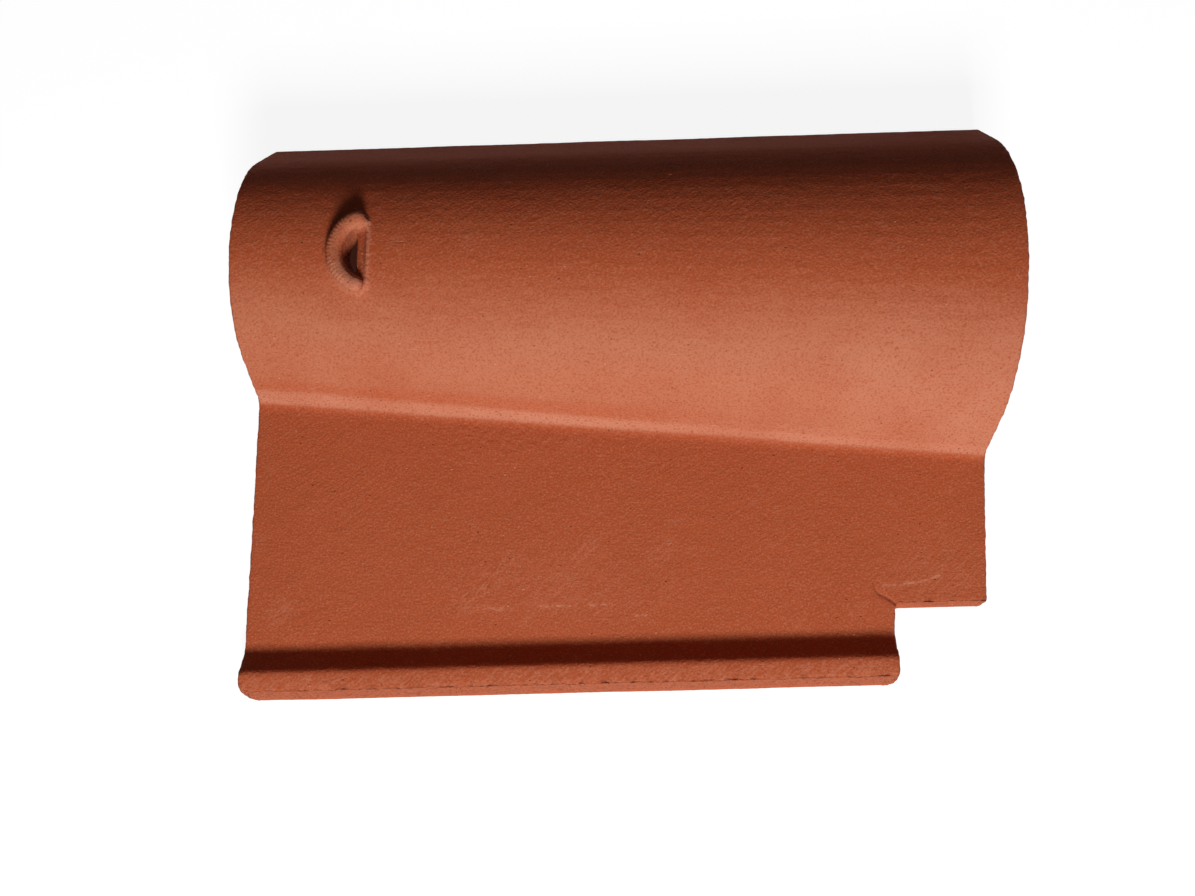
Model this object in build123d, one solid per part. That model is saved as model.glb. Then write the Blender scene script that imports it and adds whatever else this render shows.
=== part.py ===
from build123d import *
import os
from math import cos, radians, sin, sqrt, tan

# A barrel-and-pan roof tile of fired clay, in one piece. It lies on its underside along X: the head, which
# goes up the roof, is at -X and the tail at +X. The barrel is on the +Y side and the rib on the -Y side.
# Lengths are in millimetres and angles in degrees.

# The whole tile
tile_length = 400.0
tile_width = 309.0              # square across, from the barrel's free edge to the rib's outer foot
wall = 12.0                     # thickness of the clay in the barrel and the pan
lap = 49.0                      # how much of a tile the next one up the roof covers

# Barrel, measured outside and above the pan's upper face
barrel_width_head = 143.0
barrel_width_tail = 183.5
barrel_rise_head = 60.0
barrel_rise_tail = 69.0
flank_angle = 59.4              # slope of the straight flanks on both sides of the crown
free_edge_height = 9.0          # upright cut face along the barrel's free edge
free_edge_radius = 2.5          # rounding of both lower corners there
bend_radius = 8.0               # hollow where the barrel's flank runs into the pan

# Rib along the pan's outer side
rib_rise = 11.0                 # above the pan's upper face
rib_base_width = 28.5
rib_slope_width = 12.0          # width in plan of the slope towards the pan
rib_foot_radius = 5.0
rib_top_radius = 3.0
rib_head_corner_radius = 9.0
rib_tail_corner_radius = 6.0

# Notch that clears the rib of the tile below, at the tail
notch_depth = 41.0              # from the rib's outer foot to the tongue's lower edge
notch_corner_radius = 3.0
tongue_tip_radius = 4.0
trim_angle = 16.5               # lean of the trimmed faces of the rib and the tongue

# Hooded lug on the crown: a round-topped bead bent round an upright slot for a tie wire or a nail
lug_distance = 51.0             # from the head to the bead
lug_offset = 3.0                # from the middle of the barrel towards the pan
bead_width = 8.5
bead_rise = 5.0                 # above the crown
bead_bend_radius = 18.0         # to the middle of the bead
bead_bend_angle = 132.0
bead_root_depth = 8.0           # how far the bead reaches down into the barrel's wall
bead_foot_radius = 3.0
slot_width = 6.0                # at the crown, from the bead's inner side to a straight wall
slot_draft_angle = 6.0          # lean of the slot's curved wall, which narrows it downwards
sill_width = 5.5                # pressed step between the slot and a straight edge across the bead's mouth
sill_depth = 0.8                # below the crown

# Rounding of both ends, and the room that cuts take past the clay
end_radius = 2.0
overrun = 5.0

# Worked out from the sizes above
flank = radians(flank_angle)
half_length = tile_length / 2
free_edge_reach = (wall - free_edge_height) / tan(flank)
barrel_axis_y = (tile_width - (barrel_width_head + barrel_width_tail) / 2) / 2 - free_edge_reach


def evenly(at_head, at_tail, x):
    """A size at x that changes evenly from the head to the tail."""
    return at_head + (at_tail - at_head) * (x + half_length) / tile_length


def half_barrel(x):
    """Half the barrel's outer width at the level of the pan's upper face."""
    return evenly(barrel_width_head, barrel_width_tail, x) / 2


def crown_height(x):
    """Height of the barrel's crown above the underside."""
    return wall + evenly(barrel_rise_head, barrel_rise_tail, x)


def crown_radius(x):
    """Outer radius of the crown, which runs smoothly into flanks of this width, rise and slope."""
    rise = crown_height(x) - wall
    return (half_barrel(x) * tan(flank) - rise) / (tan(flank) * sin(flank) + cos(flank) - 1)


def free_edge(x):
    """Y of the barrel's free edge."""
    return barrel_axis_y + half_barrel(x) + free_edge_reach


def outer_foot(x):
    """Y of the rib's outer foot, which runs parallel to the barrel's free edge."""
    return free_edge(x) - tile_width


def inner_foot(x):
    """Distance from the barrel's axis to where the inner faces of the flanks meet the underside."""
    return half_barrel(x) - wall * tan(flank / 2)


def rounded_corner(face, point, radius):
    """A face with the corner nearest to a point rounded."""
    return fillet(face.vertices().sort_by_distance(point)[0], radius)


def edge_near(body, *point):
    """The edge of a body that passes nearest to a point."""
    return body.edges().sort_by_distance(point)[0]


def barrel():
    """The crown as a stretch of cone with a straight flank on each side, cut square to the underside."""
    start = -half_length - lap
    end = half_length + lap
    start_centre = Vector(start, barrel_axis_y, crown_height(start) - crown_radius(start))
    end_centre = Vector(end, barrel_axis_y, crown_height(end) - crown_radius(end))
    axis = Axis(start_centre, end_centre - start_centre)
    upright = Plane(origin=(0, barrel_axis_y, 0), x_dir=(1, 0, 0), z_dir=(0, -1, 0))
    start_top = crown_height(start)
    end_top = crown_height(end)
    profile = make_face(Polyline((start, start_top - wall), (end, end_top - wall), (end, end_top),
                                 (start, start_top), close=True))
    crown = revolve((upright * profile).rotate(axis, -flank_angle), axis, 2 * flank_angle)
    crown_sides = crown.faces().filter_by(GeomType.PLANE).sort_by(Axis.Y)
    flank_length = max(barrel_rise_head, barrel_rise_tail) + wall
    shell = crown + extrude(crown_sides[0], flank_length) + extrude(crown_sides[-1], flank_length)

    pan_side_y = barrel_axis_y - half_barrel(half_length) - wall
    plan = make_face(Polyline((-half_length, pan_side_y), (half_length, pan_side_y),
                              (half_length, free_edge(half_length)), (-half_length, free_edge(-half_length)),
                              close=True))
    return shell & extrude(plan, max(start_top, end_top) + overrun)


def pan():
    """The pan with its rib and notch. Its sides in plan lean, as the rib and the tongue do."""
    notch_x = half_length - lap
    rib_head = (-half_length, outer_foot(-half_length))
    rib_tail = (notch_x, outer_foot(notch_x))
    notch_root = (notch_x, outer_foot(notch_x) + notch_depth)
    tongue_tip = (half_length, outer_foot(half_length) + notch_depth)
    plan = make_face(Polyline(rib_head, rib_tail, notch_root, tongue_tip,
                              (half_length, barrel_axis_y - half_barrel(half_length)),
                              (-half_length, barrel_axis_y - half_barrel(-half_length)), close=True))
    plan = rounded_corner(plan, rib_head, rib_head_corner_radius)
    plan = rounded_corner(plan, rib_tail, rib_tail_corner_radius)
    plan = rounded_corner(plan, notch_root, notch_corner_radius)
    plan = rounded_corner(plan, tongue_tip, tongue_tip_radius)
    lean = Vector(0, tan(radians(trim_angle)), 1)
    block = extrude(plan, (wall + rib_rise) * lean.length, dir=lean.normalized())

    start = -half_length - overrun
    end = half_length + overrun
    foot_y = outer_foot(start) + rib_base_width
    slope_share = 1 + overrun / rib_rise
    above = wall + rib_rise * slope_share
    trough_profile = make_face(Polyline((foot_y, wall), (barrel_axis_y, wall), (barrel_axis_y, above),
                                        (foot_y - rib_slope_width * slope_share, above), close=True))
    rib_way = Vector(end - start, outer_foot(end) - outer_foot(start), 0)
    across = Plane(origin=(start, 0, 0), x_dir=(0, 1, 0), z_dir=(1, 0, 0))
    trough = extrude(across * trough_profile, rib_way.length, dir=rib_way.normalized())
    return block - trough


def bead_profile():
    """Half of the bead's cross-section, drawn from its middle and its root, with a round top."""
    half_width = bead_width / 2
    shoulder = bead_root_depth + bead_rise - half_width
    top = JernArc((half_width, shoulder), (0, 1), half_width, 90)
    return make_face([Line((0, 0), (half_width, 0)), Line((half_width, 0), (half_width, shoulder)), top,
                      Line((0, shoulder + half_width), (0, 0))])


def lug():
    """The bead, bent towards the head, with round ends."""
    half_profile = bead_profile()
    profile = Pos(bead_bend_radius) * (half_profile + mirror(half_profile, Plane.YZ))
    first_angle = 180 - bead_bend_angle / 2
    last_angle = 180 + bead_bend_angle / 2
    bend = revolve((Plane.XZ * profile).rotate(Axis.Z, first_angle), Axis.Z, bead_bend_angle)
    round_end = revolve(Plane.XZ * half_profile, Axis.Z, 180)
    first_end = Rot(0, 0, first_angle) * Pos(bead_bend_radius) * Rot(0, 0, 180) * round_end
    last_end = Rot(0, 0, last_angle) * Pos(bead_bend_radius) * round_end
    return bend + first_end + last_end


def slot_and_sill():
    """What is cut out inside the bead: a slot with a curved and a straight wall, and the sill beside it."""
    slot_radius = bead_bend_radius - bead_width / 2
    straight_x = slot_width - slot_radius
    reach = wall + bead_rise
    spread = reach * tan(radians(slot_draft_angle))
    round_hole = Cone(slot_radius - spread, slot_radius + spread, 2 * reach)
    kept_side = Box(2 * slot_radius, 4 * slot_radius, 2 * reach,
                    align=(Align.MAX, Align.CENTER, Align.CENTER))
    slot = round_hole & Pos(straight_x) * kept_side
    sill_length = 2 * sqrt(slot_radius**2 - straight_x**2)
    sill = Box(sill_width, sill_length, reach, align=(Align.MIN, Align.CENTER, Align.MIN))
    return slot + Pos(straight_x, 0, -sill_depth) * sill


body = pan() + barrel()
near_side = barrel_axis_y - half_barrel(0)
rib_foot = outer_foot(0) + rib_base_width
body = fillet(edge_near(body, 0, near_side, wall), bend_radius)
body = fillet(edge_near(body, 0, barrel_axis_y - inner_foot(0), 0), bend_radius + wall)
body = fillet(edge_near(body, 0, rib_foot, wall), rib_foot_radius)
body = fillet(edge_near(body, 0, rib_foot - rib_slope_width, wall + rib_rise), rib_top_radius)
free_edges = [edge_near(body, 0, barrel_axis_y + inner_foot(0), 0), edge_near(body, 0, free_edge(0), 0)]
body = fillet(free_edges, free_edge_radius)
edges_along = body.edges().group_by(Axis.X)
body = fillet(edges_along[0] + edges_along[-1], end_radius)

lug_x = -half_length + lug_distance + bead_width / 2 + bead_bend_radius
lug_y = barrel_axis_y - lug_offset
crown = crown_height(lug_x - bead_bend_radius)
bead = Pos(lug_x, lug_y, crown - bead_root_depth) * lug()
with_lug = body + bead
with_lug = fillet(new_edges(body, bead, combined=with_lug), bead_foot_radius)
tile = with_lug - Pos(lug_x, lug_y, crown) * slot_and_sill()
tile = Pos(0, -tile.bounding_box().center().Y, 0) * tile

os.makedirs("parts", exist_ok=True)
export_step(tile, "parts/roof_tile.step")
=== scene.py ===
from math import pi, radians, tan
import bpy
import numpy as np
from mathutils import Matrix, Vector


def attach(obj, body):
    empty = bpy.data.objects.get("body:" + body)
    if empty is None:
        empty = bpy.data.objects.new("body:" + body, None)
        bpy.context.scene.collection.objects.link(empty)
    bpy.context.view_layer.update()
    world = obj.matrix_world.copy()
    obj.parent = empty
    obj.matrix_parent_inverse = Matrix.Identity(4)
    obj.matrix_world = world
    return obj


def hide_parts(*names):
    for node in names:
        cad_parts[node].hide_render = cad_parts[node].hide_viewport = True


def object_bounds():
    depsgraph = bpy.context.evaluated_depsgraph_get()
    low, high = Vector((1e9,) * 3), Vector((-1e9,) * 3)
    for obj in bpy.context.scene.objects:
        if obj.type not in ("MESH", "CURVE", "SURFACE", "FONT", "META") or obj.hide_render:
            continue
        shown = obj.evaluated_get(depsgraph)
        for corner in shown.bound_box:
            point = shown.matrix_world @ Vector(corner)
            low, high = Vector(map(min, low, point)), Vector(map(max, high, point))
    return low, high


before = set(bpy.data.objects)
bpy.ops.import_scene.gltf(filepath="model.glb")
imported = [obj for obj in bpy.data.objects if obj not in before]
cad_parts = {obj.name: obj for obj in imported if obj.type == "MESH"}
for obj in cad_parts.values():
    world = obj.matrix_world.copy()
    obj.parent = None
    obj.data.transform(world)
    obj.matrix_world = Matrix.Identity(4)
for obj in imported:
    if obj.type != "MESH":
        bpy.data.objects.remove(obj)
cad_low, cad_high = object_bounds()

# A clay roof tile: the barrel at +Y, the pan and its rib at -Y, the head at -X and the tail at +X.
# Lengths are in metres and angles in degrees.
mm = 0.001

# Places on the tile, from the frame's box and the tile's own sizes
half_length = cad_high.x
tile_width = 309.0 * mm
wall = 12.0 * mm
lap = 49.0 * mm
barrel_y = 70.6 * mm
barrel_width_head = 143.0 * mm
barrel_width_tail = 183.5 * mm
side_slant = (barrel_width_tail - barrel_width_head) / (4 * half_length)
rib_rise = 11.0 * mm
rib_top = wall + rib_rise
rib_edge = 16.5 * mm
trim_angle = 16.5
trim_lean = tan(radians(trim_angle))
notch_depth = 41.0 * mm
notch_x = half_length - lap
lug_x = -126.75 * mm
lug_y = 67.6 * mm
bead_outer_radius = 22.25 * mm
sill_end_x = -129.0 * mm
crown_height = 73.2 * mm

# Marks on the pan, as lines in plan in millimetres: a crack from the notch's inner corner,
# scratches and smears
crack_line = [(150.5, -103.0), (148.0, -100.7), (145.4, -99.2), (141.1, -97.2), (139.0, -94.5),
              (137.7, -90.0)]
scratch_lines = [[(144, -93), (155, -92), (166, -90), (174, -87)], [(-70, -111), (-56, -110)],
                 [(-40, -108.6), (-21, -108)], [(-13, -107.4), (-2, -106.6)],
                 [(11.6, -112.6), (17, -112.5)]]
smear_lines = [[(-80, -108), (-68, -95), (-57, -84)], [(-21, -82), (-13, -75)], [(21, -82), (28, -75)],
               [(-185, -118), (-179, -112)]]

# Camera, as the photograph was taken
camera_place = (0.0, -86.0 * mm, 609.7 * mm)
camera_turn = (6.13, 0.96, 1.40)
camera_lens = 33.14
camera_sensor = 36.0

# Mesh of the clay
merge_gap = 0.001 * mm
grain_size = 0.65 * mm
smoothing_share = 0.5
smoothing_rounds = 4
worn_rounds = 60
soft_rounds = 12
triangle_limit = 190000

# Relief of the clay. Displacement starts from a level of the noise: from the lowest one it only raises,
# and from the highest one it only sinks.
lowest_level = 0.0
highest_level = 1.0
slope_shift = 1.6 * mm
warp_size = 60 * mm
warp_octaves = 1
warp_height = 0.6 * mm
skin_size = 5 * mm
skin_octaves = 2
skin_height = 0.22 * mm

# Rough stretches: name, size and octaves of the noise, height, level that it starts from, and direction
rough_stretches = (("cut", 4 * mm, 3, 0.9 * mm, 0.75, "NORMAL"),
                   ("torn", 5 * mm, 4, 3.4 * mm, 0.72, "NORMAL"),
                   ("lip", 12 * mm, 4, 0.6 * mm, 0.0, "Z"),
                   ("lip", 5 * mm, 3, 1.6 * mm, 0.5, "Y"),
                   ("rough", 2.6 * mm, 2, 0.6 * mm, 0.6, "NORMAL"))

# Stretches that are raised, or sunk where the height is negative
raised_stretches = (("crack", -1.0 * mm), ("sill", 0.7 * mm), ("bead", 0.35 * mm), ("hood", 0.9 * mm),
                    ("corner", 2.0 * mm))

# Colours of the fired clay, with its painted highlight and painted shade tones
red = (0.385, 0.076, 0.026, 1.0)
red_dark = (0.34, 0.062, 0.020, 1.0)
far_side_shade_red = (0.36, 0.056, 0.018, 1.0)
pale_highlight_red = (0.42, 0.138, 0.072, 1.0)
seam_highlight_red = (0.49, 0.185, 0.110, 1.0)
dust = (0.47, 0.150, 0.080, 1.0)
torn_red = (0.40, 0.112, 0.056, 1.0)
torn_dark = (0.20, 0.045, 0.018, 1.0)
recess_shade_red = (0.19, 0.035, 0.012, 1.0)
soot_and_crack_shade = (0.10, 0.022, 0.010, 1.0)
pale_speck = (0.62, 0.27, 0.17, 1.0)
scratch_pale = (0.60, 0.24, 0.14, 1.0)

# Noises in the clay: the size of their spots along X, Y and Z in millimetres, their detail, their
# roughness and their turn about Z
noises = {"patches": ((48, 48, 48), 3.0, 0.55, 0.0),
          "smudges": ((17, 11, 11), 4.0, 0.6, 0.0),
          "smears": ((7, 1.6, 7), 3.0, 0.6, -45.0),
          "grain": ((1.15, 1.15, 1.15), 2.0, 0.6, 0.0),
          "torn_grain": ((2.0, 2.0, 2.0), 5.0, 0.7, 0.0),
          "hairs": ((11, 0.6, 3), 1.0, 0.5, -3.0),
          "hair_zone": ((40, 22, 40), 2.0, 0.55, 0.0),
          "gaps": ((3, 3, 3), 2.0, 0.55, 0.0),
          "lumps": ((3.2, 3.2, 3.2), 3.0, 0.6, 0.0),
          "swells": ((9, 9, 9), 2.0, 0.55, 0.0),
          "strokes": ((8, 1.5, 8), 2.0, 0.55, -35.0),
          "stroke_zone": ((70, 70, 70), 2.0, 0.55, 0.0)}

# Specks in the clay, in millimetres
speck_radius = 0.6
dark_speck_spacing = 6.5
dark_speck_share = 0.4
pale_speck_spacing = 9.0
pale_speck_share = 0.35
pale_speck_turn = 37.0


def rib_outer_y(x):
    """Y of the rib's outer foot, which runs parallel to the barrel's free edge."""
    return cad_high.y - side_slant * (half_length - x) - tile_width


def only(thing):
    """Selects one object and nothing else."""
    bpy.ops.object.select_all(action="DESELECT")
    thing.select_set(True)
    bpy.context.view_layer.objects.active = thing


def applied(thing, kind, **settings):
    """Adds a modifier to an object and applies it."""
    only(thing)
    modifier = thing.modifiers.new(kind.lower(), kind)
    for setting, value in settings.items():
        setattr(modifier, setting, value)
    bpy.ops.object.modifier_apply(modifier=modifier.name)


def clay_body():
    """A merged copy of the tile in an even, fine mesh, soft at its edges like wet-pressed clay."""
    tile = bpy.data.objects.new("clay_tile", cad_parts["roof_tile"].data.copy())
    bpy.context.scene.collection.objects.link(tile)
    only(tile)
    bpy.ops.object.mode_set(mode="EDIT")
    bpy.ops.mesh.select_all(action="SELECT")
    bpy.ops.mesh.remove_doubles(threshold=merge_gap)
    bpy.ops.object.mode_set(mode="OBJECT")
    applied(tile, "REMESH", mode="VOXEL", voxel_size=grain_size)
    applied(tile, "SMOOTH", factor=smoothing_share, iterations=smoothing_rounds)
    return tile


def places_and_normals(thing):
    """Every point of a mesh with its normal, as two arrays."""
    mesh = thing.data
    places = np.empty(len(mesh.vertices) * 3, np.float32)
    mesh.vertices.foreach_get("co", places)
    normals = np.empty(len(mesh.vertices) * 3, np.float32)
    mesh.vertex_normals.foreach_get("vector", normals)
    return places.reshape(-1, 3), normals.reshape(-1, 3)


def ramp(values, low, high):
    """0 below low, 1 above high and even between; the other way round where low is above high."""
    return np.clip((values - low) / (high - low), 0.0, 1.0)


def near(values, target, reach, core):
    """1 within core of a target, 0 beyond reach of it and even between."""
    return ramp(abs(values - target), reach, core)


def cut_back(x, y):
    """How far points lie inside the trimmed outer face of the rib, at the level of the underside."""
    return y - rib_outer_y(x)


def behind_trim(x, y, z):
    """How far points lie inside the trimmed outer face of the rib, at their own level."""
    return cut_back(x, y) - z * trim_lean


def off_lug(x, y):
    """How far points lie from the middle of the lug in plan."""
    return np.hypot(x - lug_x, y - lug_y)


def torn_faces(x, y, z, normals):
    """The trimmed faces of the rib and the tongue, where the clay was torn off rather than pressed."""
    reach = 4 * mm
    core = 2 * mm
    foot = 2 * mm
    foot_end = 7 * mm
    past_notch = 2 * mm
    before_notch = 4 * mm
    facing_shares = (0.45, 0.75)
    lip_share = 0.8
    inside = behind_trim(x, y, z)
    facing_out = ramp(-normals[:, 1], *facing_shares) * ramp(z, foot, foot_end)
    rib_face = near(inside, 0.0, reach, core) * (x < notch_x + past_notch)
    tongue_face = near(inside, notch_depth, reach, core) * (x > notch_x - before_notch)
    return np.maximum(facing_out * np.maximum(rib_face, tongue_face), lip_share * lips(x, y, z))


def spread_corners(x, y, z, normals):
    """The corners of the rib and the tongue, which are less round, most of all at half height."""
    head_reach = 12 * mm
    notch_reach = 12 * mm
    notch_core = 10 * mm
    rib_reach = 14 * mm
    rib_core = 10 * mm
    tongue_end = 8 * mm
    tongue_reach = 8 * mm
    tongue_core = 6 * mm
    fullest_height = 11 * mm
    fullest_reach = 11 * mm
    fullest_core = 2 * mm
    facing_shares = (0.05, 0.6)
    least_share = 0.4
    tongue_share = 0.45
    inside = behind_trim(x, y, z)
    outwards = ramp(-normals[:, 1], *facing_shares)
    to_head = ramp(-normals[:, 0], *facing_shares) * (x < -half_length + head_reach)
    to_tail = ramp(normals[:, 0], *facing_shares)
    rib_corners = np.maximum(to_head, to_tail * near(x, notch_x, notch_reach, notch_core))
    rib_corners = rib_corners * ramp(inside, rib_reach, rib_core)
    tongue_corner = to_tail * (x > half_length - tongue_end)
    tongue_corner = tongue_corner * near(inside, notch_depth, tongue_reach, tongue_core)
    spread = least_share + (1.0 - least_share) * near(z, fullest_height, fullest_reach, fullest_core)
    return outwards * spread * np.maximum(rib_corners, tongue_share * tongue_corner)


def lug_zone(x, y, z):
    """The bead of the lug, its slot and the sill beside it."""
    reach = 29 * mm
    core = 25 * mm
    past_sill = 3 * mm
    below_crown = 16 * mm
    around = ramp(off_lug(x, y), reach, core)
    return around * (x < sill_end_x + past_sill) * (z > crown_height - below_crown)


def lug_bead(x, y, z):
    """The round top of the lug's bead."""
    rim_to_middle = 4.2 * mm
    reach = 5 * mm
    core = 2.5 * mm
    end_fade = 2 * mm
    below_crown = 1 * mm
    above_crown = 2 * mm
    ring = near(off_lug(x, y), bead_outer_radius - rim_to_middle, reach, core)
    ring = ring * ramp(x, lug_x + end_fade, lug_x - end_fade)
    return ring * ramp(z, crown_height - below_crown, crown_height + above_crown)


def lips(x, y, z):
    """The upper edges of the trimmed faces, where a thin lip of clay stands up."""
    rib_inset = 0.4 * mm
    reach = 1.5 * mm
    core = 0.6 * mm
    height_reach = 1.8 * mm
    height_core = 0.8 * mm
    inside = behind_trim(x, y, z)
    rib_lip = near(inside, rib_inset, reach, core) * near(z, rib_top, height_reach, height_core)
    tongue_lip = near(inside, notch_depth, reach, core) * near(z, wall, height_reach, height_core)
    return np.maximum(rib_lip * (x < notch_x), tongue_lip * (x > notch_x))


def worn_edge(x, y, z):
    """The rib's upper edge towards the pan, which is worn round."""
    past_edge = 2 * mm
    reach = 10 * mm
    core = 7 * mm
    height_reach = 9 * mm
    height_core = 7 * mm
    across = near(cut_back(x, y), rib_edge + past_edge, reach, core)
    return across * near(z, rib_top, height_reach, height_core) * (x < notch_x)


def rib_slope(x, y, z):
    """The rib's slope towards the pan, most of all its upper edge, which is pushed a little that way."""
    slope_start = 8 * mm
    slope_full = 14 * mm
    slope_end = 30 * mm
    height_inset = 0.5 * mm
    past_notch = 3 * mm
    across = ramp(cut_back(x, y), slope_start, slope_full) * (cut_back(x, y) < slope_end)
    upwards = ramp(z, wall + height_inset, rib_top - height_inset)
    return across * upwards * (x < notch_x + past_notch)


def soft_sill(x, y, z):
    """The sill beside the lug's slot, whose edges are soft."""
    end_to_middle = 2.7 * mm
    reach = 6 * mm
    core = 4 * mm
    side_reach = 17 * mm
    side_core = 14 * mm
    below_crown = 4 * mm
    on_sill = near(x, sill_end_x - end_to_middle, reach, core) * near(y, lug_y, side_reach, side_core)
    return on_sill * (z > crown_height - below_crown)


def cut_ends(x, y, normals):
    """The head, the tail and the end of the rib, which were cut with a wire."""
    reach = 4 * mm
    core = 2 * mm
    past_notch = 10 * mm
    facing_shares = (0.3, 0.7)
    to_head = ramp(-normals[:, 0], *facing_shares)
    to_tail = ramp(normals[:, 0], *facing_shares)
    head = to_head * near(x, -half_length, reach, core)
    tail = to_tail * near(x, half_length, reach, core)
    notch = to_tail * near(x, notch_x, reach, core) * (cut_back(x, y) < notch_depth + past_notch)
    return np.maximum(np.maximum(head, tail), notch)


def off_line(x, y, line):
    """How far points lie from a broken line in plan, and the share of its length to where it is nearest."""
    nearest = np.full(len(x), np.inf)
    share = np.zeros(len(x))
    steps = len(line) - 1
    for index in range(steps):
        start = np.array(line[index]) * mm
        way = np.array(line[index + 1]) * mm - start
        along = np.clip(((x - start[0]) * way[0] + (y - start[1]) * way[1]) / (way @ way), 0.0, 1.0)
        away = np.hypot(x - start[0] - along * way[0], y - start[1] - along * way[1])
        share = np.where(away < nearest, (index + along) / steps, share)
        nearest = np.minimum(nearest, away)
    return nearest, share


def cracked(x, y, z):
    """A crack that starts at the notch's inner corner and runs out in the pan."""
    reach = 0.7 * mm
    core = 0.1 * mm
    below_top = 3 * mm
    lost_share = 0.75
    away, along_share = off_line(x, y, crack_line)
    return ramp(away, reach, core) * (1.0 - lost_share * along_share) * (z > wall - below_top)


def scratched(x, y, z):
    """Thin scratches on the pan."""
    reach = 0.9 * mm
    core = 0.2 * mm
    height_reach = 2 * mm
    height_core = 1 * mm
    weights = np.zeros(len(x))
    for line in scratch_lines:
        away = off_line(x, y, line)[0]
        weights = np.maximum(weights, ramp(away, reach, core))
    return weights * near(z, wall, height_reach, height_core)


def off_oval(x, y, middle, half_sizes):
    """How far points lie from the middle of an oval in plan, where its rim is at 1."""
    return np.hypot((x - middle[0]) / half_sizes[0], (y - middle[1]) / half_sizes[1])


def dusty_places(x, y, z):
    """Pale rubbed places: two wide faint ones and short smears on the pan, and the top of the rib."""
    pan_oval = ((-28 * mm, -98 * mm), (80 * mm, 26 * mm))
    tongue_oval = ((175 * mm, -85 * mm), (50 * mm, 28 * mm))
    oval_shares = (1.0, 0.3)
    smear_reach = 8 * mm
    smear_core = 1 * mm
    rib_reach = 18 * mm
    rib_core = 15 * mm
    past_notch = 2 * mm
    height_reach = 3 * mm
    height_core = 1 * mm
    faint_share = 0.5
    rib_share = 0.8
    off_either = np.minimum(off_oval(x, y, *pan_oval), off_oval(x, y, *tongue_oval))
    on_pan = faint_share * ramp(off_either, *oval_shares)
    for line in smear_lines:
        away = off_line(x, y, line)[0]
        on_pan = np.maximum(on_pan, ramp(away, smear_reach, smear_core))
    on_pan = on_pan * near(z, wall, height_reach, height_core)
    on_rib = rib_share * (x < notch_x + past_notch) * ramp(cut_back(x, y), rib_reach, rib_core)
    return np.maximum(on_pan, on_rib * near(z, rib_top, height_reach, height_core))


def recess_shade_places(x, y, z, normals):
    """Painted shade on the sill pressed beside the lug's slot and on the slot's lit wall, which are darker
    than the crown.
    """
    end_to_middle = 2.9 * mm
    sill_reach = 3.2 * mm
    sill_core = 2.4 * mm
    side_reach = 14 * mm
    side_core = 12 * mm
    sill_rise = 0.5 * mm
    sill_drop = 0.2 * mm
    sill_depth = 3 * mm
    slot_reach = 15 * mm
    slot_core = 14.2 * mm
    end_to_slot = 5 * mm
    slot_depth = 15 * mm
    slot_rise = 2.5 * mm
    slot_full_rise = 0.5 * mm
    facing_shares = (0.1, 0.5)
    above = z - crown_height
    on_sill = near(x, sill_end_x - end_to_middle, sill_reach, sill_core)
    on_sill = on_sill * near(y, lug_y, side_reach, side_core)
    on_sill = on_sill * ramp(above, sill_rise, -sill_drop) * (above > -sill_depth)
    in_slot = ramp(off_lug(x, y), slot_reach, slot_core) * (x < sill_end_x - end_to_slot)
    in_slot = in_slot * ramp(above, slot_rise, slot_full_rise) * (above > -slot_depth)
    return np.maximum(on_sill, in_slot * ramp(-normals[:, 1], *facing_shares))


def sill_burr(x, y, z):
    """The toothed ridge across the lug's mouth, pushed up where the sill was pressed."""
    tooth = 2.1 * mm
    long_tooth = 5.67 * mm
    past_end = 0.5 * mm
    reach = 1.7 * mm
    core = 0.7 * mm
    side_reach = 19 * mm
    side_core = 16 * mm
    below_crown = 6 * mm
    even_share = 0.75
    waves = np.sin(2 * pi * y / tooth) * np.sin(2 * pi * y / long_tooth)
    teeth = even_share + (1.0 - even_share) * waves
    line = near(x, sill_end_x + past_end, reach, core) * near(y, lug_y, side_reach, side_core)
    return line * teeth * (z > crown_height - below_crown)


def bead_ridges(x, y, z):
    """Short ridges on the lug's outer side, left by the tool that shaped it."""
    ridge_count = 66
    rim_to_ridges = 2 * mm
    reach = 3 * mm
    core = 1.2 * mm
    foot_rise = 1 * mm
    full_rise = 3 * mm
    facing_shares = (0.45, 0.7)
    angle = np.arctan2(y - lug_y, x - lug_x)
    waves = 0.5 + 0.5 * np.sin(ridge_count * angle)
    ring = near(off_lug(x, y), bead_outer_radius - rim_to_ridges, reach, core)
    ring = ring * ramp(-np.cos(angle), *facing_shares)
    return ring * waves * ramp(z - crown_height, foot_rise, full_rise)


def rough_patch(x, y, z):
    """Crumbly clay on the pan along the barrel's foot."""
    patch_oval = ((-62 * mm, -17 * mm), (62 * mm, 17 * mm))
    patch_shares = (1.0, 0.35)
    height_reach = 4 * mm
    height_core = 2 * mm
    return ramp(off_oval(x, y, *patch_oval), *patch_shares) * near(z, wall, height_reach, height_core)


def zones(places, normals):
    """How much each point belongs to each stretch of the tile that is worked or not smooth."""
    skin_shares = (-0.3, 0.1)
    x, y, z = places.T
    return {"torn": torn_faces(x, y, z, normals), "lip": lips(x, y, z), "cut": cut_ends(x, y, normals),
            "crack": cracked(x, y, z), "sill": sill_burr(x, y, z), "bead": bead_ridges(x, y, z),
            "rough": rough_patch(x, y, z), "worn": worn_edge(x, y, z),
            "corner": spread_corners(x, y, z, normals), "hood": lug_bead(x, y, z),
            "skin": ramp(normals[:, 2], *skin_shares), "slope": rib_slope(x, y, z),
            "soft": soft_sill(x, y, z)}


def finely_kept(places, normals):
    """Where the mesh stays fine: the torn faces, the crack, the scratches and the lug."""
    x, y, z = places.T
    broken = np.maximum(torn_faces(x, y, z, normals), cracked(x, y, z))
    return np.ceil(np.maximum(np.maximum(broken, scratched(x, y, z)), lug_zone(x, y, z)))


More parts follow.
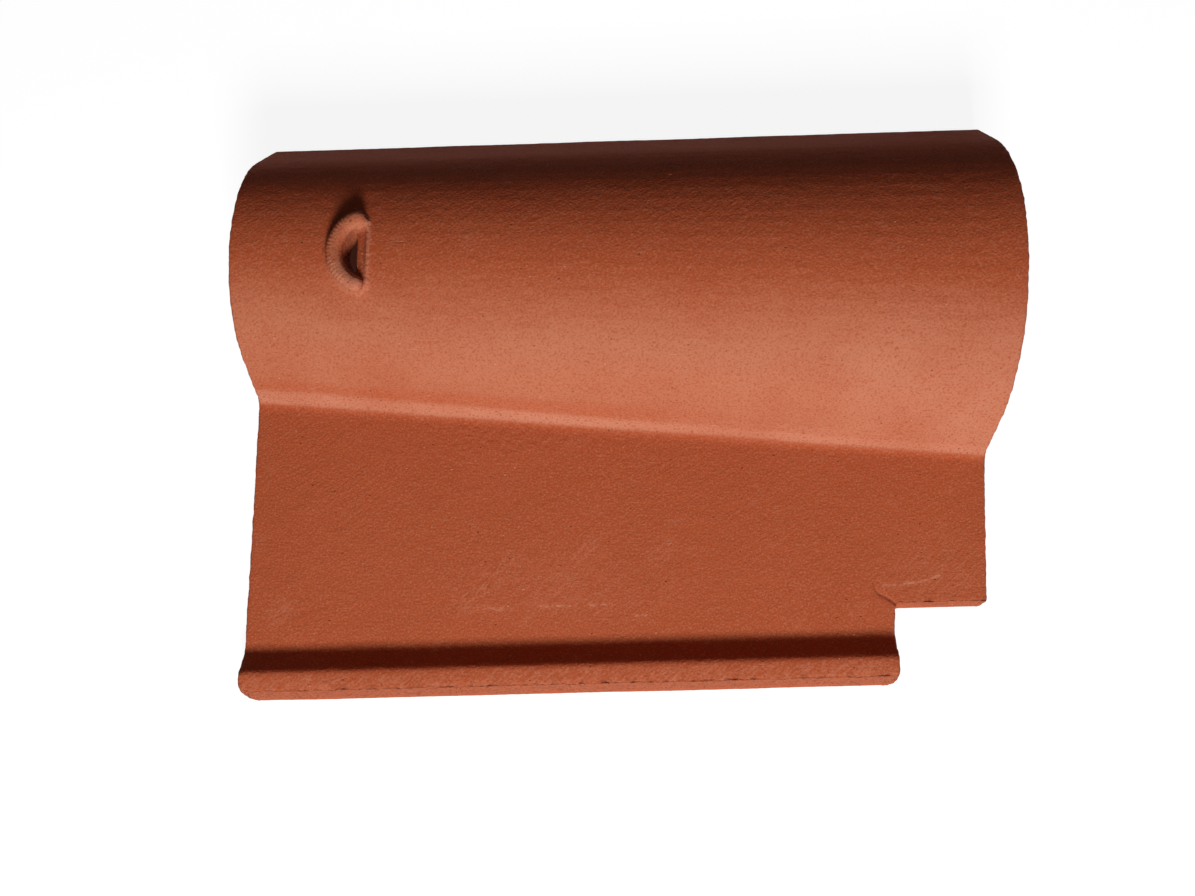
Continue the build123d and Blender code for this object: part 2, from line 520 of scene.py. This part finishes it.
def barrel_side(y, above):
    """The barrel, from where it leaves the pan."""
    foot_y = -60 * mm
    foot_end_y = -50 * mm
    low = 0.3 * mm
    high = 1.5 * mm
    return ramp(y, foot_y, foot_end_y) * ramp(above, low, high)


def lit_flank_highlight(x, y, above, towards):
    """Painted highlight on the barrel's flank towards the pan, which faces the lamp, less a low band along
    its head half.
    """
    band_foot = 5 * mm
    band_low = 8 * mm
    band_high = 14 * mm
    band_top = 19 * mm
    band_end_x = 70 * mm
    band_full_x = -10 * mm
    facing_shares = (0.1, 0.6)
    band_share = 0.5
    band = ramp(above, band_foot, band_low) * ramp(above, band_top, band_high)
    band = band * ramp(x, band_end_x, band_full_x)
    return barrel_side(y, above) * ramp(towards, *facing_shares) * (1.0 - band_share * band)


def flank_foot_highlight(x, y, above, towards):
    """Painted highlight in the hollow where the flank meets the pan, higher at the head, and in a thin
    streak above it.
    """
    hollow_top = 7.5 * mm
    hollow_full = 5 * mm
    head_rise = 3 * mm
    head_full_rise = 2.5 * mm
    head_full_x = -150 * mm
    streak_height = 9.5 * mm
    streak_reach = 1.6 * mm
    streak_core = 0.5 * mm
    streak_start_x = 20 * mm
    streak_full_x = 90 * mm
    hollow_shares = (0.2, 0.55)
    streak_shares = (0.5, 0.7)
    streak_share = 0.6
    barrel = barrel_side(y, above)
    at_head = ramp(x, 0.0, head_full_x)
    top = hollow_top + head_rise * at_head
    full = hollow_full + head_full_rise * at_head
    hollow = barrel * ramp(towards, *hollow_shares) * ramp(above, top, full)
    streak = barrel * ramp(towards, *streak_shares) * near(above, streak_height, streak_reach, streak_core)
    return np.maximum(hollow, streak_share * (streak * ramp(x, streak_start_x, streak_full_x)))


def tones(places, normals):
    """Where the fired colour is paler by painted highlights, deeper by painted shade, dusty, scratched, or
    darker by painted shade on the sill and in the slot.
    """
    tail_start_x = 60 * mm
    tail_full_x = 160 * mm
    bead_start = 2 * mm
    bead_full = 9 * mm
    far_shares = (0.05, 0.5)
    upward_shares = (0.0, 0.3)
    bead_highlight_share = 0.7
    lit_bead_share = 0.9
    raised_highlight_share = 0.9
    tail_share = 0.55
    x, y, z = places.T
    above = z - wall
    towards = -normals[:, 1]
    # Painted highlight: the flank facing the lamp and the lug's bead are made paler (the pale mark)
    flank = lit_flank_highlight(x, y, above, towards)
    bead = lug_bead(x, y, z)
    # Painted shade: faces turned up and away from the lamp are made deeper red
    far_side_shade = ramp(normals[:, 1], *far_shares) * ramp(normals[:, 2], *upward_shares)
    # Painted highlight (the seam mark): the flank's foot, its tail end, the sill's burr and the bead's lit
    # lower end are made paler
    tail_flank_highlight = tail_share * flank * ramp(x, tail_start_x, tail_full_x)
    raised = np.maximum(sill_burr(x, y, z), lit_bead_share * bead * ramp(lug_y - y, bead_start, bead_full))
    seam_highlight = np.maximum(flank_foot_highlight(x, y, above, towards), np.maximum(raised_highlight_share * raised, tail_flank_highlight))
    return {"pale": np.maximum(flank, bead_highlight_share * bead), "far_side_shade": far_side_shade, "seam_highlight": seam_highlight,
            "dusty": dusty_places(x, y, z), "scratch": scratched(x, y, z),
            "sunk": recess_shade_places(x, y, z, normals)}


def weighted(thing, name, weights):
    """A vertex group with one weight a point, in even steps."""
    steps = 20
    levels = np.round(weights * steps).astype(int)
    group = thing.vertex_groups.new(name=name)
    for level in range(1, steps + 1):
        members = np.nonzero(levels == level)[0]
        group.add(members.tolist(), level / steps, "REPLACE")


def clouds(name, size, octaves):
    """A soft noise of one size for relief."""
    texture = bpy.data.textures.new(name, "CLOUDS")
    texture.noise_scale = size
    texture.noise_depth = octaves
    return texture


def relief(tile):
    """The forms of hand-finished clay: soft edges, slight unevenness, and rough and raised stretches."""
    for name, weights in zones(*places_and_normals(tile)).items():
        weighted(tile, name, weights)
    applied(tile, "DISPLACE", strength=slope_shift, mid_level=lowest_level, direction="Y",
            vertex_group="slope")
    applied(tile, "SMOOTH", factor=smoothing_share, iterations=worn_rounds, vertex_group="worn")
    applied(tile, "SMOOTH", factor=smoothing_share, iterations=soft_rounds, vertex_group="soft")
    applied(tile, "DISPLACE", texture=clouds("warp", warp_size, warp_octaves), strength=warp_height,
            mid_level=highest_level)
    applied(tile, "DISPLACE", texture=clouds("skin", skin_size, skin_octaves), strength=skin_height,
            mid_level=highest_level, vertex_group="skin")
    for name, size, octaves, height, level, direction in rough_stretches:
        applied(tile, "DISPLACE", texture=clouds(name, size, octaves), strength=height, mid_level=level,
                direction=direction, vertex_group=name)
    for name, height in raised_stretches:
        applied(tile, "DISPLACE", strength=height, mid_level=lowest_level, vertex_group=name)
    tile.vertex_groups.clear()


def kept_inside(tile):
    """No point of the clay stands outside the tile's own box."""
    places = places_and_normals(tile)[0]
    places = np.clip(places, np.array(cad_low), np.array(cad_high))
    tile.data.vertices.foreach_set("co", places.ravel().astype(np.float32))
    tile.data.update()


def thinned(tile):
    """Fewer triangles where the clay is plain."""
    tile.data.calc_loop_triangles()
    kept_share = min(1.0, triangle_limit / len(tile.data.loop_triangles))
    weighted(tile, "kept", finely_kept(*places_and_normals(tile)))
    applied(tile, "DECIMATE", decimate_type="COLLAPSE", ratio=kept_share, vertex_group="kept",
            invert_vertex_group=True)
    tile.vertex_groups.clear()


def marked(tile):
    """Stores each point's marks, such as torn, dusty, painted highlight or painted shade, for the clay's
    colour and grain.
    """
    places, normals = places_and_normals(tile)
    marks = zones(places, normals) | tones(places, normals)
    for name in ("torn", "cut", "crack", "rough", "pale", "far_side_shade", "seam_highlight", "dusty", "scratch", "sunk"):
        layer = tile.data.attributes.new(name, "FLOAT", "POINT")
        layer.data.foreach_set("value", marks[name].astype(np.float32))


def step(tree, kind, inputs=(), **settings):
    """Adds a node, sets it and joins or fills its sockets. Each input is a socket and its value."""
    made = tree.nodes.new(kind)
    for setting, value in settings.items():
        setattr(made, setting, value)
    for socket, value in inputs:
        if isinstance(value, bpy.types.NodeSocket):
            tree.links.new(value, made.inputs[socket])
        else:
            made.inputs[socket].default_value = value
    return made


def scaled(tree, where, *sizes):
    """Places measured in steps of a size along each axis."""
    return step(tree, "ShaderNodeVectorMath", [(0, where), (1, [1 / size for size in sizes])],
                operation="MULTIPLY").outputs[0]


def turned(tree, where, angle):
    """Places turned about Z."""
    return step(tree, "ShaderNodeVectorRotate", [("Vector", where), ("Angle", radians(angle))],
                rotation_type="Z_AXIS").outputs[0]


def noise(tree, where, name):
    """One of the soft noises in the clay."""
    sizes, detail, roughness, turn = noises[name]
    if turn:
        where = turned(tree, where, turn)
    return step(tree, "ShaderNodeTexNoise", [("Vector", scaled(tree, where, *sizes)), ("Scale", 1.0),
                                             ("Detail", detail), ("Roughness", roughness)]).outputs["Fac"]


def span(tree, value, low, high, to_low=0.0, to_high=1.0):
    """A value's span from low to high, made to run from to_low to to_high and no further."""
    return step(tree, "ShaderNodeMapRange", [("Value", value), ("From Min", low), ("From Max", high),
                                             ("To Min", to_low), ("To Max", to_high)]).outputs["Result"]


def worked(tree, operation, first, second=0.0):
    """One step of arithmetic on one value or two."""
    return step(tree, "ShaderNodeMath", [(0, first), (1, second)], operation=operation).outputs[0]


def sum_of(tree, *values):
    """The sum of several values."""
    total = values[0]
    for value in values[1:]:
        total = worked(tree, "ADD", total, value)
    return total


def times(tree, *values):
    """Several values multiplied."""
    product = values[0]
    for value in values[1:]:
        product = worked(tree, "MULTIPLY", product, value)
    return product


def mixed(tree, share, first, second):
    """Two colours mixed by a share."""
    return step(tree, "ShaderNodeMix", [(0, share), (6, first), (7, second)], data_type="RGBA").outputs[2]


def specks(tree, where, spacing, kept_share):
    """Scattered round specks of one radius; only a share of the places for them has one."""
    core_share = 0.5
    cells = step(tree, "ShaderNodeTexVoronoi", [("Vector", scaled(tree, where, spacing, spacing, spacing)),
                                                ("Scale", 1.0)])
    chance = step(tree, "ShaderNodeSeparateColor", [("Color", cells.outputs["Color"])]).outputs["Red"]
    rim = speck_radius / spacing
    core = core_share * speck_radius / spacing
    dot = span(tree, cells.outputs["Distance"], rim, core)
    return times(tree, dot, worked(tree, "LESS_THAN", chance, kept_share))


def mark(tree, name):
    """One of the stored marks on the clay."""
    return step(tree, "ShaderNodeAttribute", attribute_name=name).outputs["Fac"]


def scratch_pattern(tree, where):
    """Hair-thin scratches in some places, and the pan's own scratches with gaps in them."""
    hair_shares = (0.7, 0.76)
    zone_shares = (0.5, 0.62)
    gap_shares = (0.38, 0.58)
    hairs = span(tree, noise(tree, where, "hairs"), *hair_shares)
    hair_zone = span(tree, noise(tree, where, "hair_zone"), *zone_shares)
    gaps = span(tree, noise(tree, where, "gaps"), *gap_shares)
    return worked(tree, "MAXIMUM", times(tree, hairs, hair_zone), times(tree, mark(tree, "scratch"), gaps))


def ground_colour(tree, where, grain):
    """The clay's red with its painted highlights and painted shade, patches, dust and sandy grain."""
    patch_shares = (0.4, 0.68)
    patch_share = 0.35
    smudge_shares = (0.6, 0.78)
    smudge_share = 0.35
    smear_shares = (0.42, 0.66)
    smear_share = 0.75
    recess_shade_share = 0.65
    pale_grain_shares = (0.5, 0.75, 0.0, 0.75)
    dark_grain_shares = (0.5, 0.27, 0.0, 0.9)
    # Painted shade on the far side, then painted highlights on the flank, the lug and the flank's foot
    colour = mixed(tree, mark(tree, "far_side_shade"), red, far_side_shade_red)
    colour = mixed(tree, mark(tree, "pale"), colour, pale_highlight_red)
    colour = mixed(tree, mark(tree, "seam_highlight"), colour, seam_highlight_red)
    patches = span(tree, noise(tree, where, "patches"), *patch_shares)
    colour = mixed(tree, times(tree, patches, patch_share), colour, red_dark)
    smudges = span(tree, noise(tree, where, "smudges"), *smudge_shares)
    colour = mixed(tree, times(tree, smudges, smudge_share), colour, dust)
    smears = span(tree, noise(tree, where, "smears"), *smear_shares)
    colour = mixed(tree, times(tree, smears, mark(tree, "dusty"), smear_share), colour, dust)
    # Painted shade on the sill and the slot's lit wall (the sunk mark)
    colour = mixed(tree, times(tree, mark(tree, "sunk"), recess_shade_share), colour, recess_shade_red)
    colour = mixed(tree, span(tree, grain, *pale_grain_shares), colour, dust)
    return mixed(tree, span(tree, grain, *dark_grain_shares), colour, red_dark)


def marked_colour(tree, colour, torn_grain, dark_specks, pale_specks, scratches):
    """The clay's colour with its torn and cut faces, specks, scratches, and painted shade in the crack."""
    torn_shares = (0.3, 0.6, 0.3, 0.9)
    torn_dark_shares = (0.5, 0.36, 0.0, 0.6)
    cut_shares = (0.4, 0.6, 0.0, 0.6)
    dark_share = 0.4
    pale_share = 0.7
    scratch_share = 0.55
    crack_shade_share = 0.85
    torn = mark(tree, "torn")
    colour = mixed(tree, times(tree, torn, span(tree, torn_grain, *torn_shares)), colour, torn_red)
    colour = mixed(tree, times(tree, torn, span(tree, torn_grain, *torn_dark_shares)), colour, torn_dark)
    cut = times(tree, mark(tree, "cut"), span(tree, torn_grain, *cut_shares))
    colour = mixed(tree, cut, colour, torn_red)
    colour = mixed(tree, times(tree, dark_specks, dark_share), colour, soot_and_crack_shade)
    colour = mixed(tree, times(tree, pale_specks, pale_share), colour, pale_speck)
    colour = mixed(tree, times(tree, scratches, scratch_share), colour, scratch_pale)
    # Painted shade in the crack
    return mixed(tree, times(tree, mark(tree, "crack"), crack_shade_share), colour, soot_and_crack_shade)


def grain_height(tree, where, grain, torn_grain, dark_specks, pale_specks, scratches):
    """The height of the clay's fine grain in millimetres, too fine for the mesh."""
    grain_rise = 0.34
    lump_rise = 0.24
    swell_rise = 0.3
    stroke_rise = 0.25
    dark_speck_rise = -0.3
    pale_speck_rise = 0.2
    scratch_rise = -0.1
    torn_rise = 1.6
    rough_rise = 0.5
    stroke_shares = (0.4, 0.6)
    lumps = noise(tree, where, "lumps")
    swells = noise(tree, where, "swells")
    strokes = noise(tree, where, "strokes")
    stroke_zone = span(tree, noise(tree, where, "stroke_zone"), *stroke_shares)
    return sum_of(tree, times(tree, grain, grain_rise), times(tree, lumps, lump_rise),
                  times(tree, swells, swell_rise), times(tree, strokes, stroke_zone, stroke_rise),
                  times(tree, dark_specks, dark_speck_rise), times(tree, pale_specks, pale_speck_rise),
                  times(tree, scratches, scratch_rise),
                  times(tree, mark(tree, "torn"), torn_grain, torn_rise),
                  times(tree, mark(tree, "rough"), torn_grain, rough_rise))


def fired_clay():
    """Unglazed red clay: softly mottled, sandy, specked, scratched, pale where it is torn, with painted
    highlights and painted shade.
    """
    sheen_share = 0.1
    roughness_shares = (0.3, 0.7, 0.66, 0.8)
    material = bpy.data.materials.new("fired_clay")
    material.use_nodes = True
    tree = material.node_tree
    shader = tree.nodes["Principled BSDF"]
    where = scaled(tree, step(tree, "ShaderNodeTexCoord").outputs["Object"], mm, mm, mm)
    grain = noise(tree, where, "grain")
    torn_grain = noise(tree, where, "torn_grain")
    dark_specks = specks(tree, where, dark_speck_spacing, dark_speck_share)
    pale_specks = specks(tree, turned(tree, where, pale_speck_turn), pale_speck_spacing, pale_speck_share)
    scratches = scratch_pattern(tree, where)
    colour = ground_colour(tree, where, grain)
    colour = marked_colour(tree, colour, torn_grain, dark_specks, pale_specks, scratches)
    height = grain_height(tree, where, grain, torn_grain, dark_specks, pale_specks, scratches)
    bump = step(tree, "ShaderNodeBump", [("Height", height), ("Distance", mm)])
    tree.links.new(colour, shader.inputs["Base Color"])
    tree.links.new(bump.outputs["Normal"], shader.inputs["Normal"])
    tree.links.new(span(tree, grain, *roughness_shares), shader.inputs["Roughness"])
    shader.inputs["Specular IOR Level"].default_value = sheen_share
    return material


def seen_rays(tree):
    """1 for what the camera sees, straight or by a mirror or through glass, and 0 for other light."""
    ray = step(tree, "ShaderNodeLightPath")
    return sum_of(tree, ray.outputs["Is Camera Ray"], ray.outputs["Is Glossy Ray"],
                  ray.outputs["Is Transmission Ray"])


def outside_painted_shadow(tree):
    """1 on the open floor and 0 on the floor under the barrel, where a dark brown shadow is painted."""
    hollow_half_length = 195 * mm
    hollow_half_width = 62 * mm
    fade = 38 * mm
    place = step(tree, "ShaderNodeTexCoord").outputs["Object"]
    axes = step(tree, "ShaderNodeSeparateXYZ", [("Vector", place)])
    off_middle = worked(tree, "ABSOLUTE", worked(tree, "SUBTRACT", axes.outputs["Y"], barrel_y))
    beside = span(tree, off_middle, hollow_half_width - fade, hollow_half_width)
    off_centre = worked(tree, "ABSOLUTE", axes.outputs["X"])
    beyond = span(tree, off_centre, hollow_half_length - fade, hollow_half_length)
    return worked(tree, "MAXIMUM", beside, beyond)


def floor():
    """A plain pale floor, which shows white, keeps the tile's shadow and has a dark brown shadow painted
    under the barrel.
    """
    floor_side = 8.0
    unseen_grey = (0.25, 0.25, 0.25, 1.0)
    seen_grey = (0.16, 0.16, 0.16, 1.0)
    painted_shadow_brown = (0.040, 0.012, 0.006, 1.0)
    glow_white = (0.9, 0.9, 0.9, 1.0)
    painted_shadow_glow = (0.034, 0.010, 0.006, 1.0)
    bpy.ops.object.select_all(action="DESELECT")
    bpy.ops.mesh.primitive_plane_add(size=floor_side)
    made = bpy.context.object
    made.name = "floor"
    material = bpy.data.materials.new("pale_floor")
    material.use_nodes = True
    tree = material.node_tree
    tree.nodes.clear()
    outside = outside_painted_shadow(tree)
    dim = step(tree, "ShaderNodeBsdfDiffuse", [("Color", unseen_grey)]).outputs[0]
    # Painted shadow: the floor under the barrel is dark brown, in its diffuse colour and its glow
    lit = mixed(tree, outside, painted_shadow_brown, seen_grey)
    pale = step(tree, "ShaderNodeBsdfDiffuse", [("Color", lit)]).outputs[0]
    shown = mixed(tree, outside, painted_shadow_glow, glow_white)
    glow = step(tree, "ShaderNodeEmission", [("Color", shown), ("Strength", 1.0)]).outputs[0]
    white = step(tree, "ShaderNodeAddShader", [(0, pale), (1, glow)]).outputs[0]
    either = step(tree, "ShaderNodeMixShader", [(0, seen_rays(tree)), (1, dim), (2, white)]).outputs[0]
    step(tree, "ShaderNodeOutputMaterial", [("Surface", either)])
    made.data.materials.append(material)


def background(tree, level):
    """Even white light of one level from all round."""
    white = (1.0, 1.0, 1.0, 1.0)
    return step(tree, "ShaderNodeBackground", [("Color", white), ("Strength", level)]).outputs[0]


def lights():
    """One soft lamp beyond the rib, and a little light from all round."""
    lamp_place = (0.12, -1.2, 1.0)
    lamp_width = 0.40
    lamp_power = 31.6
    sky_level = 0.03
    seen_level = 0.92
    lamp = bpy.data.lights.new("key", "AREA")
    lamp.size = lamp_width
    lamp.energy = lamp_power
    holder = bpy.data.objects.new("key", lamp)
    bpy.context.scene.collection.objects.link(holder)
    holder.location = lamp_place
    holder.rotation_euler = (-holder.location).to_track_quat("-Z", "Y").to_euler()
    world = bpy.data.worlds.new("studio")
    bpy.context.scene.world = world
    world.use_nodes = True
    tree = world.node_tree
    tree.nodes.clear()
    dim = background(tree, sky_level)
    white = background(tree, seen_level)
    either = step(tree, "ShaderNodeMixShader", [(0, seen_rays(tree)), (1, dim), (2, white)]).outputs[0]
    step(tree, "ShaderNodeOutputWorld", [("Surface", either)])


def camera():
    """The photograph's view, from above and a little from the pan's side."""
    lens = bpy.data.cameras.new("photo")
    lens.lens = camera_lens
    lens.sensor_width = camera_sensor
    holder = bpy.data.objects.new("photo", lens)
    bpy.context.scene.collection.objects.link(holder)
    holder.location = camera_place
    holder.rotation_euler = [radians(angle) for angle in camera_turn]
    bpy.context.scene.camera = holder


tile = clay_body()
relief(tile)
thinned(tile)
kept_inside(tile)
marked(tile)
only(tile)
bpy.ops.object.shade_smooth()
tile.data.materials.clear()
tile.data.materials.append(fired_clay())
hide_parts("roof_tile")
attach(tile, "root")
floor()
lights()
camera()
bpy.context.scene.view_settings.view_transform = "Standard"
